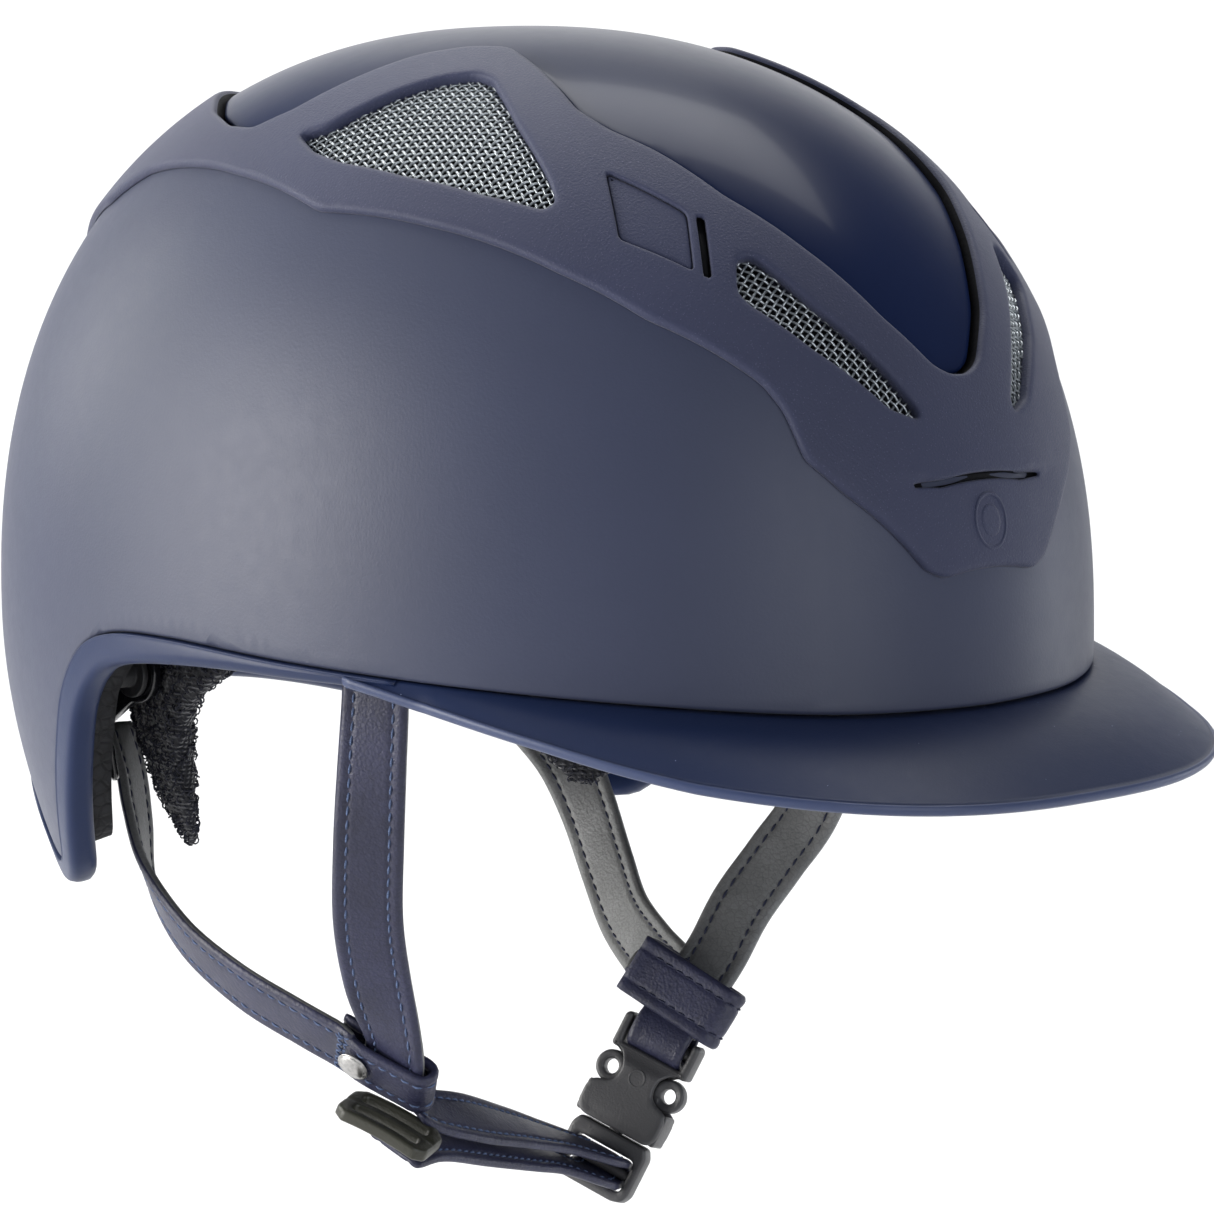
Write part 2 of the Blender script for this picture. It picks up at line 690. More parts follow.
# Edge profiles: inset, height
EDGE_TOP = [(0, 0.35), (0.12, 0.95), (0.42, 1.45), (0.9, 1.72), (1.5, RISE)]
VENT_TOP = [(0, 0.5), (0.1, 1.1), (0.36, 1.5), (0.8, 1.76), (1.5, RISE)]
SLIT_TOP = [(0, 1.2), (0.06, 1.5), (0.2, 1.72), (0.45, 1.82), (0.8, RISE)]
EDGE_BOTTOM = [(0, 0.12), (1.5, 0.12)]
VENT_BOTTOM = [(0, -2.95), (0.5, -2.95), (1.5, 0.12)]
SLIT_BOTTOM = [(0, 0.12), (0.8, 0.12)]
# the holes are the panel, five vents, two side plates and three slits
frame_slab = slab(
    surf, domain(both(FRAME_HALF)), [panel_loop, *VENTS, *side_plates, *slits],
    EDGE_TOP, EDGE_BOTTOM, frame_points, step=1.2, rounding=1.3,
    hole_rounding=[1.6, 1.3, 1.3, 1.0, 1.0, 1.2, 0.9, 0.9, 0.35, 0.35, 0.45],
    hole_edges=[(VENT_TOP, VENT_BOTTOM, 1)] + [(VENT_TOP, VENT_BOTTOM, 0)] * 5
    + [(SLIT_TOP, SLIT_BOTTOM, 0)] * 2 + [(SLIT_TOP, SLIT_BOTTOM, 1)] * 3,
    shape_top=brow)
place(make("vent_frame_v", ["frame", "gap"], *frame_slab), "helmet")

# dark floors under the slits and the brow slot
FLOOR_TOP, FLOOR_BOTTOM = 0.30, 0.14
piece = Piece()
for outline in slits:
    ring = inset(resample(outline, surf, 1.0, 0.3), surf, 0.5, True)
    centre = ring.mean(0)[None]
    size = len(ring)
    way = 1 if signed_area(ring) > 0 else -1
    pairs = [(j, (j + 1) % size) for j in range(size)]
    low = size + 1
    faces = [[j, after, size][::way] for j, after in pairs]
    faces += [[low + j, low + after, 2 * size + 1][::-way] for j, after in pairs]
    faces += [[j, low + j, low + after, after][::way] for j, after in pairs]
    piece.add(np.vstack([surf(part, height) for height in (FLOOR_TOP, FLOOR_BOTTOM)
                         for part in (ring, centre)]), faces)
place(piece.build("slot_floors_v", ["gap"]), "helmet", replaces=False)

for side, outline in zip(("right", "left"), side_plates):
    outline = inset(resample(outline, surf, 1.0, 0.9), surf, 0.16, False)
    side_slab = slab(surf, outline, [], [(0, 0.7), (0.1, 0.95), (0.35, 1.08), (0.7, 1.12)],
                     [(0, 0.2), (0.7, 0.15)], frame_points, step=1.0, rounding=0.2)
    place(make(f"side_plate_{side}_v", ["frame"], *side_slab), "helmet")

# ------------------------------------------------------------------ front boss
BOSS_UV = np.array([[0.0, -81.0]])
boss_scale = np.array([norm(along) for along in tangents(surf, BOSS_UV)])


def boss_surface(points, height=0.0):
    """The dome around the boss, in millimetres from its centre"""
    return surf(BOSS_UV + points / boss_scale, height)


piece = Piece()
piece.add(*slab(boss_surface, circle(6.2), [circle(5.3)],
                [(0, RISE - 0.35), (0.08, RISE + 0.02), (0.25, RISE + 0.12)],
                [(0, RISE - 1.2), (0.25, RISE - 1.2)], NO_POINTS, step=0.5, rounding=0.05))
piece.add(*slab(boss_surface, circle(3.6), [],
                [(0, RISE - 0.35), (0.1, RISE - 0.1), (0.4, RISE + 0.02)],
                [(0, RISE - 1.2), (0.4, RISE - 1.2)], grid_points(-3, 3, -3, 3, 0.8),
                step=0.5, rounding=0.05))
place(piece.build("front_boss_v", ["frame"]), "helmet", replaces=False)

# ------------------------------------------------------------------ glossy crown panel
panel_slab = slab(
    surf, inset(resample(panel_loop, surf, 1.5, 1.6), surf, -0.75, True), [],
    [(0, -2.0), (0.15, -1.35), (0.5, -0.98), (1.1, -0.84), (1.8, -0.80)],
    [(0, -2.4), (1.8, -2.8)], ring_points(detail(2.0, 4.0), 1.0, 72), step=1.5, rounding=0.2)
place(make("crown_panel_v", ["panel"], *panel_slab), "helmet")

# ------------------------------------------------------------------ woven wire meshes
WIRE_PITCH = 1.6
WIRE_RADIUS = 0.31
WIRE_HEIGHT = -0.85
WIRE_WAVE = 0.26  # how far a wire sways over and under its neighbours
WIRE_SIDES = 5
WEAVE_SPAN = 45  # half the length of the longest wire
BAND_RADIUS = 0.45


def weave(name, outline):
    outline = inset(resample(outline, surf, 1.0, 0.8), surf, 0.8, True)
    centre = outline.mean(0)
    along_u, along_v = (along[0] for along in tangents(surf, centre[None]))
    out = unit(np.cross(along_u, along_v))
    rise = unit(np.array([0, 0, 1.0]) - out * out[2])
    across = np.cross(rise, out)
    to_domain = np.linalg.pinv(np.stack([along_u, along_v], 1))
    piece = Piece()
    at = np.arange(-WEAVE_SPAN, WEAVE_SPAN, WIRE_PITCH / 2)
    wires = int(WEAVE_SPAN / WIRE_PITCH)
    for degrees, sign in ((45, 1), (-45, -1)):
        turn = math.radians(degrees)
        along = across * math.cos(turn) + rise * math.sin(turn)
        uv_along, uv_across = to_domain @ along, to_domain @ np.cross(out, along)
        for i in range(-wires, wires + 1):
            wire = centre + i * WIRE_PITCH * uv_across + np.outer(at, uv_along)
            shown = np.flatnonzero(inside(wire, outline))
            for run in np.split(shown, np.flatnonzero(np.diff(shown) > 1) + 1):
                if len(run) < 2:
                    continue
                sway = np.cos(np.pi * (at[run] / WIRE_PITCH + i)) * sign
                path = surf(wire[run], WIRE_HEIGHT + WIRE_WAVE * sway)
                ahead = unit(np.gradient(path, axis=0))
                side = unit(np.cross(ahead, normal(wire[run])))
                piece.rod(path, WIRE_RADIUS, side, np.cross(side, ahead), WIRE_SIDES)
    backing = slab(surf, outline, [], [(0, -2.7), (0.6, -2.6)], [(0, -2.9), (0.6, -3.0)],
                   frame_points, step=1.6, rounding=0.2)
    piece.add(*backing[:2], 1)
    # a thin band that frames the wire cloth
    band = inset(outline, surf, -0.1, True)
    path = surf(band, WIRE_HEIGHT)
    ahead = unit(np.roll(path, -1, 0) - np.roll(path, 1, 0))
    side = unit(np.cross(ahead, normal(band)))
    piece.rod(path, BAND_RADIUS, side, np.cross(side, ahead), WIRE_SIDES, closed=True)
    place(piece.build(name, ["mesh", "gap"]), "helmet")


for vent_name, vent in zip(("rear_vent_mesh_right_v", "rear_vent_mesh_left_v",
                            "front_vent_mesh_right_v", "front_vent_mesh_left_v",
                            "exhaust_mesh_v"), VENTS):
    weave(vent_name, vent)


# ------------------------------------------------------------------ foam liner
def foam_inside(uv, height):
    """Inner face of the foam, thinner toward the rim"""
    face = np.interp(theta_of(uv), [0, 84, 107, 165], [-23.3, -23.3, -15, -11.5])
    return np.where(height < -8, face, height)


foam_slab = slab(
    surf, to_uv(all_phi, rim_theta(all_phi) - 1.2),
    [inset(resample(vent, surf, 2.0, 1.0), surf, 1.6, False) for vent in VENTS],
    [(0, -6.0), (0.5, -5.2), (1.2, -5.0)], [(0, -9.5), (0.6, -20.0), (1.2, -23.3)],
    ring_points(detail(3.2, 5), 1.0, 152), step=2.6, rounding=0.8, shape_bottom=foam_inside)
place(make("foam_liner_v", ["foam"], *foam_slab), "helmet")

# ------------------------------------------------------------------ peak
UP = np.array([0, 0, 1.0])


def peak_rim(angles):
    """Outer edge of the peak, by angle from the front"""
    power = 2 / 2.58
    sine, cosine = np.sin(rad(angles)), np.cos(rad(angles))
    lift = np.interp(np.abs(angles), [0, 48, 56, 64.6, 77, 84], [0, 0, 0.7, 1.7, 2.6, 3.8])
    return np.stack([100.7 * signed_power(sine, power),
                     -30.5 - 148.8 * signed_power(cosine, power),
                     -2.2 - 29.7 * cosine + 2.9 * np.cos(rad(2 * angles)) + lift], -1)


def peak_root(edge):
    """Where the peak meets the dome, in the domain, behind each edge point"""
    degrees = np.rad2deg(np.arctan2(edge[:, 0], -edge[:, 1]))
    slope = DOME_FRONT / DOME_HALF_WIDTH * np.tan(rad(np.abs(degrees)))
    phi = np.sign(degrees) * np.rad2deg(np.arctan(np.abs(slope) ** (PLAN_SHAPE / 2)))
    return to_uv(phi, rim_theta(phi, drop=0.4))


def peak_sheet(angles, fractions, drop, back):
    """Rows of points from root to edge, lowered by drop and pulled in by back"""
    edge = peak_rim(angles)
    uv = peak_root(edge)
    root, out = surf(uv), normal(uv)
    level = unit(out * [1, 1, 0])
    gap = ((edge - root) * level).sum(1)
    least = np.interp(np.abs(angles), [74, 84], [2.0, 0.5])
    close = np.column_stack([root[:, :2], edge[:, 2]]) + least[:, None] * level
    edge = np.where((gap < least)[:, None], close, edge)
    arch = np.minimum(1, gap / 20)
    rows = []
    for part in fractions:
        near_root = max(0, 1 - part / 0.05)
        points = (root * (1 - part) + edge * part
                  + UP * (1.8 * math.sin(math.pi * part) * arch)[:, None]
                  - out * (0.3 * (1 - part) + 2.3 * near_root) + UP * 0.45 * near_root)
        lower = drop * (1 - 0.15 * max(0, (part - 0.9) / 0.1))
        if part < 0.2:
            pull = back * (2 - 7.5 * part)
        else:
            pull = back * (0.5 if part < 0.9 else 0.5 + 5 * (part - 0.9))
        rows.append(points - UP * lower - level * pull)
    return rows, level


def peak_solid(rows):
    """Closed solid whose cross-sections run through the rows in order"""
    size, count = len(rows), len(rows[0])
    faces = [[i * size + j, (i + 1) * size + j, (i + 1) * size + (j + 1) % size,
              i * size + (j + 1) % size] for i in range(count - 1) for j in range(size)]
    faces.append(list(range(size)))
    faces.append([(count - 1) * size + j for j in range(size)][::-1])
    return np.stack(rows, 1).reshape(-1, 3), faces


angles = np.linspace(-84, 84, detail(260, 120))
fractions = np.linspace(0, 1, 26) ** 0.85
top, level = peak_sheet(angles, fractions, drop=0, back=0)
bottom, _ = peak_sheet(angles, fractions, drop=2.4, back=0.6)
# rounded lip between the top and the underside
middle = (top[-1] + bottom[-1]) / 2
lip = [middle + (top[-1] - middle) * math.cos(turn) * 1.25 + level * math.sin(turn) * 1.15
       for turn in map(math.radians, (20, 50, 80, 100, 130, 160))]
rows = top + lip + bottom[::-1]
row_mats = [1 if len(top) - 1 <= j < len(top) + len(lip) else 0 for j in range(len(rows))]
place(make("peak_v", ["peak", "lip"], *peak_solid(rows),
           row_mats * (len(angles) - 1) + [0, 0]), "helmet")

angles = np.linspace(-64, 64, detail(160, 80))
fractions = np.linspace(0.0, 0.95, 18)
top, _ = peak_sheet(angles, fractions, drop=2.5, back=0.8)
bottom, _ = peak_sheet(angles, fractions, drop=3.3, back=0.8)
rows = [top[0] * 0.5 + bottom[0] * 0.5, *top[1:-1],
        top[-1] * 0.5 + bottom[-1] * 0.5, *bottom[1:-1][::-1]]
place(make("peak_lining_v", ["under"], *peak_solid(rows)), "helmet")

# ------------------------------------------------------------------ rolled edge trim
around = np.arange(63, 297.1, detail(0.8, 1.6))  # from the left side round the rear
phi = np.where(around > 180, around - 360, around)
uv = to_uv(phi, rim_theta(phi))
path = dome(phi, rim_theta(phi))
out = normal(uv)
down = unit(np.cross(unit(np.gradient(path, axis=0)), out))
for _ in range(3):
    down[1:-1] = unit(down[:-2] + 2 * down[1:-1] + down[2:])
widths = np.interp(np.minimum(around, 360 - around), [62, 70, 80, 92, 101, 110, 120, 180],
                   [2.2, 2.7, 3.8, 6.5, 8, 7.5, 6, 6])
sections = []
for width in widths:
    # distance past the rim, height
    knots = [[0.3, -5.0], [width * 0.5, -6.2], [width - 1.2, -6.1], [width + 0.2, -4.6],
             [width + 0.6, -2.6], [width + 0.2, -0.6], [width - 1.2, 0.55],
             [width * 0.45, 0.75], [0.9, 0.62], [0.25, 0.3]]
    sections.append(smooth(knots + knots[:1], 4)[:-1])
sections = np.array(sections)
verts = path[:, None] + sections[:, :, 0:1] * down[:, None] + sections[:, :, 1:2] * out[:, None]
# ease the lowest part to a soft limit
LOWEST, EASE = -62.4, 0.7
z = verts[..., 2]
verts[..., 2] = np.where(z < LOWEST, LOWEST - EASE * (1 - np.exp(-(LOWEST - z) / EASE)), z)
place(make("edge_trim_v", ["trim"], verts.reshape(-1, 3),
           tube_faces(len(around), sections.shape[1], flip=True)), "helmet")


# ------------------------------------------------------------------ soft padding
def copy_node(node):
    mesh = NODES[node].data.copy()
    mesh.materials.clear()
    ob = new_object(node + "_v", mesh)
    edit = bmesh.new()
    edit.from_mesh(mesh)
    bmesh.ops.remove_doubles(edit, verts=edit.verts, dist=2e-6)
    edit.to_mesh(mesh)
    edit.free()
    return ob


def apply_modifiers(ob):
    graph = bpy.context.evaluated_depsgraph_get()
    mesh = bpy.data.meshes.new_from_object(ob.evaluated_get(graph))
    ob.modifiers.clear()
    old = ob.data
    ob.data = mesh
    bpy.data.meshes.remove(old)


def vertex_values(ob, key):
    values = np.zeros(len(ob.data.vertices) * 3)
    ob.data.vertices.foreach_get(key, values)
    return values.reshape(-1, 3)


def move_vertices(ob, coords):
    ob.data.vertices.foreach_set("co", coords.ravel())
    ob.data.update()


def inflate(ob, limit):
    """Puff the mesh up as pressurised cloth, moving no vertex beyond the limit"""
    before = vertex_values(ob, "co")
    cloth = ob.modifiers.new("c", "CLOTH")
    settings = cloth.settings
    settings.quality = 5
    settings.mass = 0.15
    settings.tension_stiffness = settings.compression_stiffness = 12
    settings.shear_stiffness = 6
    settings.bending_stiffness = 0.4
    settings.use_pressure = True
    settings.uniform_pressure_force = 4
    settings.effector_weights.gravity = 0
    cloth.collision_settings.use_collision = False
    cloth.point_cache.frame_start, cloth.point_cache.frame_end = 1, 20
    for step in range(1, 21):
        bpy.context.scene.frame_set(step)
    apply_modifiers(ob)
    bpy.context.scene.frame_set(1)
    after = vertex_values(ob, "co")
    if len(after) == len(before):
        move = after - before
        length = norm(move, axis=1, keepdims=True)
        move_vertices(ob, before + move * np.minimum(1, limit / np.maximum(length, 1e-9)))


def padded(node, mat, voxel=0.0026, shrink=0.0007, limit=0.0011, seams=None, levels=1):
    """Remeshed, shrunk and puffed copy of a node, in metres, with seams pressed in"""
    ob = copy_node(node)
    remesh = ob.modifiers.new("r", "REMESH")
    remesh.mode = "VOXEL"
    remesh.voxel_size = voxel
    apply_modifiers(ob)
    move_vertices(ob, vertex_values(ob, "co") - vertex_values(ob, "normal") * shrink)
    inflate(ob, limit)
    subdivide = ob.modifiers.new("s", "SUBSURF")
    subdivide.levels = subdivide.render_levels = levels
    apply_modifiers(ob)
    if seams is not None:
        coords, out = vertex_values(ob, "co"), vertex_values(ob, "normal")
        move_vertices(ob, coords - out * seams(coords * 1000)[:, None] * MM)
    ob.data.materials.append(MATS[mat])
    ob.data.shade_smooth()
    return ob


def groove(distance, width=0.9):
    return np.exp(-(distance / width) ** 2)


def pad_angle(coords):
    return np.rad2deg(np.arctan2(coords[:, 0] / DOME_HALF_WIDTH, -coords[:, 1] / DOME_FRONT))


def seam_brow(coords):
    degrees = pad_angle(coords)
    return np.max([groove((degrees - seam) * 1.9) for seam in range(-56, 57, 14)], axis=0)


def seam_crown(coords):
    """Seams 22 mm apart in three directions"""
    x, y = coords[:, 0], coords[:, 1]
    lines = (x * 0.5 + y * 0.866, x * 0.5 - y * 0.866, x)
    return np.max([groove((line + 11) % 22 - 11, 1.1) for line in lines], axis=0) * 0.9


def seam_upright(coords):
    return groove((pad_angle(coords) + 7) % 14 - 7, 0.6) * 0.8


for node, seams, voxel in (
        ("crown_pad", seam_crown, 0.0034), ("brow_pad", seam_brow, 0.0026),
        ("side_pad_right", seam_upright, 0.0026), ("side_pad_left", seam_upright, 0.0026),
        ("rear_pad", seam_upright, 0.0026)):
    place(padded(node, "pad", voxel=voxel, seams=seams), "helmet")

# ------------------------------------------------------------------ nape cradle
# Upper and lower edge up to the rear centre: phi, theta
CRADLE_UPPER = [[116, 108], [125, 109.5], [135, 109.5], [150, 109], [180, 108]]
CRADLE_LOWER = [[116, 124], [119, 142], [127, 136], [132, 128], [140, 124], [150, 121],
                [165, 116], [180, 114]]
# Right opening, from the rear centre: phi, theta
CRADLE_OPENING = [[26, 112.5], [42, 113], [43, 119], [28, 117]]
ARM_ANGLE = math.radians(34)
ARM_THICKNESS = 2.4
ARM_RADIUS = 7


def cradle_outline():
    phi = np.linspace(117.5, 242.5, 60)
    edges = []
    for half in (CRADLE_UPPER, CRADLE_LOWER):
        half = np.array(half, float)
        whole = np.vstack([half, (half[:-1] * [-1, 1] + [360, 0])[::-1]])
        edges.append(np.interp(phi, whole[:, 0], whole[:, 1]))
    upper, lower = edges[0] + 0.3, edges[1] - 0.3
    narrow = np.minimum(1, 0.4 + np.sin(np.pi * (phi - 116) / 128) * 2.5)
    middle, half_height = (upper + lower) / 2, (lower - upper) / 2 * narrow
    return np.vstack([np.stack([phi, middle - half_height], -1),
                      np.stack([phi, middle + half_height], -1)[::-1]])


def ribs(uv, height):
    phi = phi_of(uv) % 360
    rib = (0.35 * groove(theta_of(uv) - 110.5, 1.2)
           + 0.3 * groove((np.abs(phi - 180) - 52) * 1.7, 2.0))
    return height - 0.3 + np.minimum(rib, 0.35)


piece = Piece()
piece.add(*slab(
    surf, domain(cradle_outline()),
    [domain([[180 + sign * phi, theta] for phi, theta in CRADLE_OPENING]) for sign in (-1, 1)],
    [(0, -17.9), (0.15, -17.55), (0.5, -17.3), (0.9, -17.2)],
    [(0, -18.7), (0.3, -19.2), (0.9, -19.35)], ring_points(detail(2.2, 4), 98, 152),
    step=1.4, rounding=1.4, hole_rounding=[1.0] * 2, shape_top=ribs))
# arms that carry the cradle, each with a round bored end
arm_outline = [[ARM_RADIUS * math.cos(turn), ARM_RADIUS * math.sin(turn)]
               for turn in np.linspace(math.radians(130), math.radians(410), 26)]
arm_outline += [[4.4, 10], [4.2, 19], [-4.2, 19], [-4.4, 10]]
for sign in (-1, 1):
    out = np.array([float(sign), 0, 0])
    arm = affine(np.array([sign * 83.5, 40, -13.0]) - out * ARM_THICKNESS,
                 sign * np.array([0, math.sin(ARM_ANGLE), math.cos(ARM_ANGLE)]),
                 np.array([0, math.cos(ARM_ANGLE), -math.sin(ARM_ANGLE)]), out)
    piece.add(*plate(arm, arm_outline, [circle(3.12, 36)], 0, ARM_THICKNESS, 0.5, rounding=0.6))
place(piece.build("nape_cradle_v", ["cradle"]), "nape_support")

# ------------------------------------------------------------------ neck pad
place(padded("neck_pad_mount", "hook", voxel=0.0022, shrink=0.0001, limit=0.0004),
      "nape_support")


def lumps(coords):
    x, y, z = coords.T
    wave = (np.sin(x * 1.9 + 0.7 * np.sin(z * 1.3)) * np.sin(z * 2.1 + np.sin(y * 1.7))
            * np.sin(y * 1.8))
    return wave * 0.35 + rng.normal(0, 0.07, len(coords))


neck_pad = padded("neck_pad", "fleece", voxel=0.0030, shrink=0.0012, limit=0.0008,
                  seams=lumps, levels=detail(2, 1))
place(neck_pad, "nape_support")


def neck_pile():
    """Small loops of yarn scattered over the neck pad"""
    neck_pad.data.calc_loop_triangles()
    triangles = np.array([tri.vertices[:] for tri in neck_pad.data.loop_triangles])
    corner, second, third = (vertex_values(neck_pad, "co") * 1000)[triangles.T]
    normals = np.cross(second - corner, third - corner)
    areas = norm(normals, axis=1) / 2
    count = detail(2600, 900)
    pick = rng.choice(len(triangles), count, p=areas / areas.sum())
    part, other = rng.random(count), rng.random(count)
    over = part + other > 1
    part[over], other[over] = 1 - part[over], 1 - other[over]
    feet = (corner[pick] + part[:, None] * (second[pick] - corner[pick])
            + other[:, None] * (third[pick] - corner[pick]))
    piece = Piece()
    turn = rad(np.linspace(-15, 195, 6))[:, None]
    for foot, out in zip(feet, unit(normals[pick])):
        across = unit(np.cross(out, rng.normal(size=3)))
        radius = rng.uniform(0.6, 1.15)
        lean = unit(out + 0.3 * rng.normal(size=3))
        path = (foot + across * radius * np.cos(turn) + lean * radius * 0.95 * np.sin(turn))
        ahead = unit(np.gradient(path, axis=0))
        side = unit(np.cross(ahead, np.cross(across, lean)))
        piece.rod(path, 0.20, side, np.cross(side, ahead), sides=4)
    place(piece.build("neck_pile_v", ["loops"]), "nape_support", replaces=False)


neck_pile()

# ------------------------------------------------------------------ straps
STRAP_MATS = ["leather", "lining", "thread", "thread_dark"]
LEATHER, LINING, THREAD, DARK_THREAD = range(4)
STRAP_WIDTH = 16.2
STRAP_THICKNESS = 2.3
FACE_POINTS = 35


def strap_section(width, thickness, rows):
    """Cross-section with grooves under the stitch rows: across, height"""
    half, rise = width / 2, thickness / 2
    shoulder = half - rise * 0.9
    x = np.linspace(-shoulder, shoulder, FACE_POINTS)
    height = np.full_like(x, rise)
    for row in rows:
        height -= 0.30 * groove(np.abs(x) - row, 0.55)
    height += 0.16 * groove(np.abs(x) - (half - 1.5), 0.9)
    height += 0.10 * np.cos(np.clip(x / (rows[0] if rows else half), -1, 1) * np.pi / 2)
    top = np.stack([x, height], -1)
    edge = []
    for degrees in (60, 30, 8, -8, -30, -60):
        radius = rise * 0.95 * (0.93 if abs(degrees) < 10 else 1)
        turn = math.radians(degrees)
        edge.append([shoulder + radius * math.cos(turn), radius * math.sin(turn)])
    edge = np.array(edge)
    return np.vstack([top, edge, top[::-1] * [1, -1], edge[::-1] * [-1, 1]])


def stitch(piece, path, across, out, lean, radius, mat):
    """Short thread along path, thin at its ends and leaning across by lean"""
    path = path + across * lean
    piece.rod(path, radius, across, out, sides=6, mat=mat)


def strap(piece, path, guide, width, thickness, across=False, rows=(4.9,), inner=LINING,
          threads=(THREAD, DARK_THREAD), pitch=3.3, skip=(3, 3)):
    """Leather strap with stitch rows on both faces.

    guide is the outward direction, or the width direction if across is set. rows are
    distances from the middle, and skip is the length without stitches at each end."""
    guide = np.broadcast_to(guide, path.shape)
    length = np.r_[0, np.cumsum(norm(np.diff(path, axis=0), axis=1))]
    at = np.linspace(0, length[-1], max(6, int(round(length[-1] / 1.1))) + 1)
    path, guide = interp_rows(at, length, path), interp_rows(at, length, guide)
    ahead = unit(np.gradient(path, axis=0))
    if across:
        wide = unit(guide - ahead * (guide * ahead).sum(1, keepdims=True))
    else:
        wide = unit(np.cross(ahead, guide))
    out = unit(np.cross(wide, ahead))
    section = strap_section(width, thickness, rows)
    x, z = section[:, 0:1], section[:, 1:2]
    verts = path[:, None] + x * wide[:, None] + z * out[:, None]
    # thin the two sections at each end
    for i, scale in ((0, 0.62), (1, 0.9), (-1, 0.62), (-2, 0.9)):
        verts[i] = path[i] + x * (1 - (1 - scale) * 0.06) * wide[i] + z * scale * out[i]
    size = len(section)
    ring_mats = [LEATHER if (j < FACE_POINTS + 2 or j >= size - 3) else inner
                 for j in range(size)]
    piece.add(verts, tube_faces(len(path), size, flip=True),
              ring_mats * (len(path) - 1) + [LEATHER] * 2)
    reach = pitch * 0.36
    lift = thickness / 2 - 0.34 + 0.30 * np.sin(np.linspace(0, np.pi, 6))
    lean = 0.12 * np.linspace(-1, 1, 6)[:, None]
    radius = 0.27 * np.array([0.5, 0.9, 1, 1, 0.9, 0.5])
    for face, mat in zip((1, -1), threads):
        for row in rows:
            for sign in (-1, 1):
                centre = skip[0]
                while centre < at[-1] - skip[1]:
                    spots = np.linspace(centre - reach, centre + reach, 6)
                    side = unit(interp_rows(spots, at, wide))
                    over = unit(interp_rows(spots, at, out)) * face
                    thread_path = (interp_rows(spots, at, path) + side * (sign * row + lean)
                                   + over * lift[:, None])
                    piece.rod(thread_path, radius, side, over, sides=6, mat=mat)
                    centre += pitch


def bartack(piece, origin, across, along, out, width, mat):
    """Two dense zigzag lines of thread across a strap"""
    count = int(width / 1.15)
    part = np.linspace(-1, 1, 6)
    radius = 0.26 * np.array([0.6, 0.9, 1, 1, 0.9, 0.6])
    for line in range(2):
        for i in range(count):
            x = -width / 2 + (i + 0.5) * width / count
            lean = 0.42 if (i + line) % 2 else -0.42
            path = (origin + across * (x + lean * part[:, None])
                    + along * ((line - 0.5) * 1.69 + 0.75 * part[:, None])
                    + out * (0.02 + 0.22 * np.cos(part * np.pi / 2))[:, None])
            side = np.cross(out, unit(across * lean + along * 0.75))
            piece.rod(path, radius, side, out, sides=6, mat=mat)


def in_plane(origin, first, second, points):
    return origin + first * points[:, :1] + second * points[:, 1:2]


def loop_path(start, end, fold=1.0):
    """Outer layer, round the end, and back on the inner side: along, out"""
    half = 2.7  # half the 3.4 gap and half the 2.0 leather
    return smooth([
        [start, 0.2 * half], [start + 4, 0.75 * half], [start + 8, half], [end - 3, half],
        [end, half], [end + half * 0.72, half * 0.7], [end + half, 0],
        [end + half * 0.72, -half * 0.7], [end, -half], [end - 3, -half],
        [start + 8, -half], [start + 3, -0.95 * half], [start - 1.5 * fold, -1.15 * half]], 4)


# The buckle's frame: y runs up the strap, z out of the face
BUCKLE = np.array([27.3, -4.6, -133.0])
BUCKLE_X, BUCKLE_Y, BUCKLE_Z = axes(unit([0.315, -0.8625, -0.391]),
                                    np.array([-0.857, -0.437, 0.269]))
# The right junction, where the front strap meets the rear strap's loop
JOINT = np.array([-53.5, -13.5, -104.0])
JOINT_X, JOINT_Y, JOINT_Z = axes(unit([0.42, -0.80, -0.43]), [-0.85, -0.05, -0.50])
# The left junction, just above the buckle
LEFT = BUCKLE + BUCKLE_Y * 37 + 0.6 * BUCKLE_X
left_turn = math.radians(-5)
LEFT_X = BUCKLE_X * math.cos(left_turn) + BUCKLE_Y * math.sin(left_turn)
LEFT_Y = np.cross(BUCKLE_Z, LEFT_X)
IN_JOINT = [-0.85, -0.05, -0.5]
IN_LEFT = [0.86, 0.43, -0.27]

# Each strap has a path and, for each point of it, the outward direction
path = [[-81, -42.4, 13], [-80.8, -42.2, 0], [-80.3, -41.1, -13], [-79.5, -38.6, -28],
        [-77, -34, -46.5], [-72, -27.5, -64.8], [-64.5, -21.8, -81.5], [-57.2, -18.6, -97],
        JOINT, JOINT - 6 * JOINT_Y]
out = [[-0.94, -0.34, 0.05], [-0.94, -0.34, 0], [-0.92, -0.38, 0], [-0.88, -0.47, 0],
       [-0.8, -0.6, 0], [-0.78, -0.62, 0], [-0.8, -0.5, -0.2], [-0.85, -0.12, -0.45],
       IN_JOINT, IN_JOINT]
piece = Piece()
strap(piece, smooth(path, 8), smooth(out, 8), STRAP_WIDTH, STRAP_THICKNESS)
place(piece.build("front_strap_right_v", STRAP_MATS), "helmet")

path = [[81, -42.4, 13], [81, -41.9, -2], [80, -36, -28], [75, -27, -55], [68.6, -19.9, -69],
        [60.6, -15.7, -80.4], [51.7, -15.3, -91.4], LEFT,
        BUCKLE + BUCKLE_Y * 28.9 + BUCKLE_Z * 1.2]
out = [[0.94, -0.34, 0.05], [0.94, -0.3, 0], [0.95, 0.1, 0], [0.92, 0.3, -0.1],
       [0.9, 0.4, -0.2], [0.86, 0.45, -0.25], IN_LEFT, IN_LEFT, IN_LEFT]
